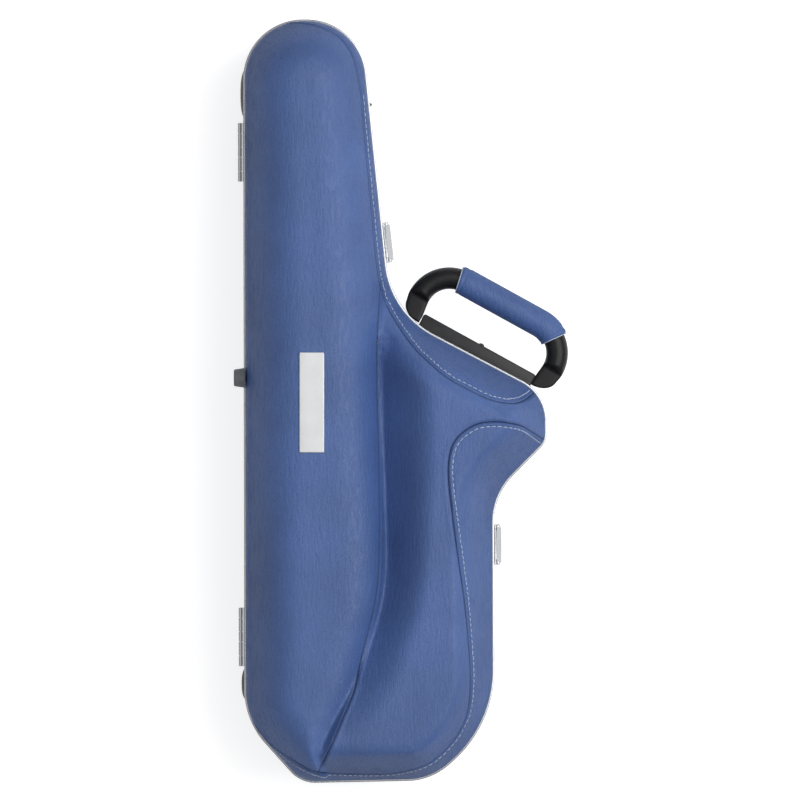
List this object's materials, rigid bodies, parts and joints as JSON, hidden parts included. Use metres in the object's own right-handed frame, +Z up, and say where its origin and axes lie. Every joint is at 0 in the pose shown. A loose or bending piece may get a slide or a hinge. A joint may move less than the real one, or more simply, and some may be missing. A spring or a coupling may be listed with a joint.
{
  "type": "alto saxophone case",
  "caption": "Shaped hard case for an alto saxophone: blue grained leather, bright rim, hinged lid, draw latches and carrying handle.",
  "frame": {"origin": "on the flat back that the case lies on, under the middle of the outline", "axes": "+Z up from the flat back through the lid, +Y towards the narrow neck end, +X towards the handle side; the hinges are on the -X side"},
  "size_m": [0.285, 0.6493, 0.17],
  "materials": {
    "blue_leather": "grained",
    "black_shell": "satin",
    "bright_rim": "polished",
    "chrome": "polished",
    "black_plastic": "satin",
    "foot_rubber": "matt",
    "bumper_rubber": "matt",
    "satin_plate": "satin",
    "black_plush": "plush"
  },
  "bodies": {
    "back": {"back_leather": "blue_leather", "back_shell": "black_shell", "back_rim": "bright_rim", "back_foam_liner": "black_plush", "upper_saddle": "black_plush", "lower_saddle": "black_plush", "bell_saddle": "black_plush", "upper_hinge_back_leaf": "chrome", "lower_hinge_back_leaf": "chrome", "upper_hinge_pin": "chrome", "lower_hinge_pin": "chrome", "neck_latch_base": "chrome", "waist_latch_base": "chrome", "neck_latch_lever_pin": "chrome", "waist_latch_lever_pin": "chrome", "handle_base_bar": "black_plastic", "handle_upper_pin": "chrome", "handle_lower_pin": "chrome", "upper_bumper": "bumper_rubber", "lower_bumper": "bumper_rubber"},
    "lid": {"lid_body_leather": "blue_leather", "lid_bell_leather": "blue_leather", "lid_neck_side_leather": "blue_leather", "lid_bell_side_leather": "blue_leather", "lid_shell": "black_shell", "lid_rim": "bright_rim", "lid_foam_liner": "black_plush", "lid_body_cushion": "black_plush", "lid_bell_cushion": "black_plush", "upper_hinge_lid_leaf": "chrome", "lower_hinge_lid_leaf": "chrome", "neck_latch_keeper": "chrome", "waist_latch_keeper": "chrome", "side_foot": "foot_rubber", "front_plate": "satin_plate", "rim_joint_stud": "chrome"},
    "neck_lever": {"neck_latch_lever": "chrome", "neck_latch_loop_pin": "chrome"},
    "neck_loop": {"neck_latch_loop": "chrome"},
    "waist_lever": {"waist_latch_lever": "chrome", "waist_latch_loop_pin": "chrome"},
    "waist_loop": {"waist_latch_loop": "chrome"},
    "handle": {"handle_frame": "black_plastic", "handle_grip_sleeve": "blue_leather"}
  },
  "joints": [
    {"name": "lid_hinge", "type": "hinge", "parent": "back", "child": "lid", "pos_m": [-0.13176, 0.00571, 0.08], "axis": [0.0018, -1, 0], "range_deg": [0, 165]},
    {"name": "neck_latch_lever_hinge", "type": "hinge", "parent": "back", "child": "neck_lever", "pos_m": [-0.00585, 0.13544, 0.073], "axis": [0.1038, -0.9946, 0], "range_deg": [0, 100]},
    {"name": "neck_latch_loop_hinge", "type": "hinge", "parent": "neck_lever", "child": "neck_loop", "pos_m": [-0.00585, 0.13544, 0.0675], "axis": [0.1038, -0.9946, 0], "range_deg": [-122, 0]},
    {"name": "waist_latch_lever_hinge", "type": "hinge", "parent": "back", "child": "waist_lever", "pos_m": [0.08773, -0.12205, 0.073], "axis": [0.003, -1, 0], "range_deg": [0, 100]},
    {"name": "waist_latch_loop_hinge", "type": "hinge", "parent": "waist_lever", "child": "waist_loop", "pos_m": [0.08773, -0.12205, 0.0675], "axis": [0.003, -1, 0], "range_deg": [-122, 0]},
    {"name": "handle_hinge", "type": "hinge", "parent": "back", "child": "handle", "pos_m": [0.07134, 0.04572, 0.0657], "axis": [0.8756, -0.483, 0], "range_deg": [-70, 55]}
  ],
  "couplings": [
    {"joint": "neck_latch_loop_hinge", "follows": "neck_latch_lever_hinge", "ratio": -1.2},
    {"joint": "waist_latch_loop_hinge", "follows": "waist_latch_lever_hinge", "ratio": -1.2}
  ]
}
